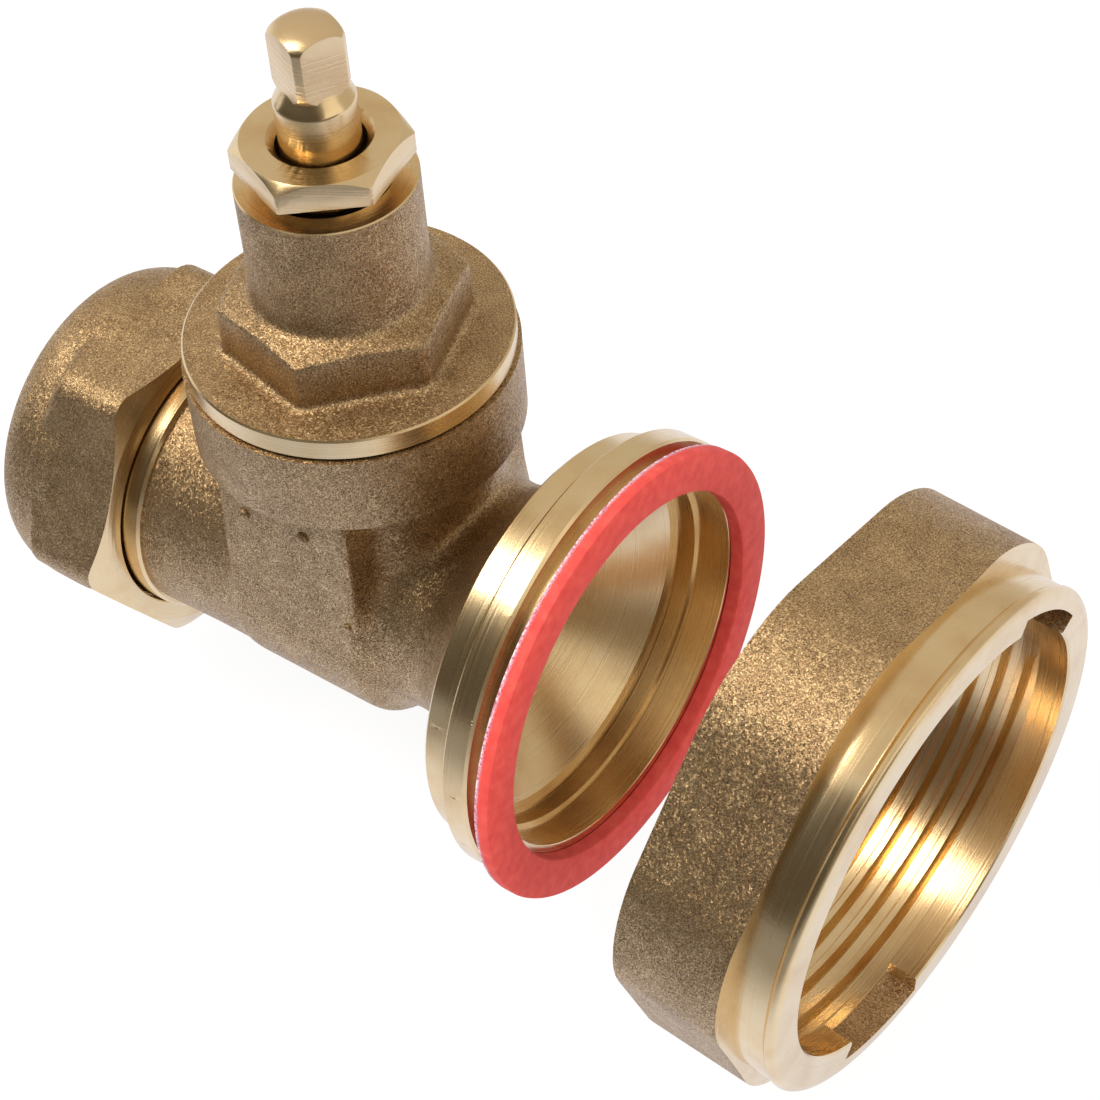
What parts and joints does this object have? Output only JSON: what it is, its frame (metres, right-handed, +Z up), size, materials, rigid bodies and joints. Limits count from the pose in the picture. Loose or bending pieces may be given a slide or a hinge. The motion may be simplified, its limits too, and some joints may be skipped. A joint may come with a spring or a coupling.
{
  "type": "lockshield pump valve",
  "caption": "Brass gate-type lockshield valve for a heating pump: compression pipe end, square stem head, turned flange with a red fibre washer, and its union nut slipped off.",
  "frame": {"origin": "centre of the pipe stop on the flow axis, where the end of the pipe comes to rest", "axes": "+X along the flow towards the pump, +Z up the stem, +Y completes a right-handed frame"},
  "size_m": [0.0967, 0.0546, 0.087],
  "materials": {
    "cast_brass": "shot-blasted casting with turned faces",
    "turned_brass": "turned and bright",
    "red_fibre": "pressed vulcanised fibre, dull",
    "packing": "graphited packing, dull"
  },
  "bodies": {
    "body": {"valve_body": "cast_brass", "bonnet": "cast_brass", "bonnet_gasket": "packing", "packing_lower": "packing", "packing_upper": "packing", "pump_washer": "red_fibre"},
    "stem": {"stem": "turned_brass"},
    "gate": {"gate": "turned_brass"},
    "olive": {"olive": "turned_brass"},
    "compression_nut": {"compression_nut": "cast_brass"},
    "gland_ring": {"gland_ring": "turned_brass"},
    "gland_nut": {"gland_nut": "turned_brass"},
    "union_nut": {"union_nut": "cast_brass"}
  },
  "joints": [
    {"name": "stem_turn", "type": "hinge", "parent": "body", "child": "stem", "pos_m": [0.012, 0, 0], "axis": [0, 0, 1], "range_deg": [-1800, 0]},
    {"name": "gate_lift", "type": "slide", "parent": "body", "child": "gate", "axis": [0, 0, 1], "range_m": [-0.019, 0]},
    {"name": "olive_slide", "type": "slide", "parent": "body", "child": "olive", "axis": [1, 0, 0], "range_m": [-0.009, 0]},
    {"name": "nut_turn", "type": "hinge", "parent": "olive", "child": "compression_nut", "pos_m": [0, 0, 0], "axis": [1, 0, 0], "range_deg": [-2160, 0]},
    {"name": "gland_slide", "type": "slide", "parent": "body", "child": "gland_ring", "axis": [0, 0, 1], "range_m": [0, 0.002]},
    {"name": "gland_turn", "type": "hinge", "parent": "gland_ring", "child": "gland_nut", "pos_m": [0.012, 0, 0], "axis": [0, 0, 1], "range_deg": [0, 720]},
    {"name": "union_slide", "type": "slide", "parent": "body", "child": "union_nut", "axis": [1, 0, 0], "range_m": [-0.015, 0]}
  ],
  "couplings": [
    {"joint": "stem_turn", "follows": "gate_lift", "rad_per_m": 1653.5},
    {"joint": "olive_slide", "follows": "nut_turn", "m_per_rad": 0.00023873},
    {"joint": "gland_turn", "follows": "gland_slide", "rad_per_m": 6283.2}
  ]
}
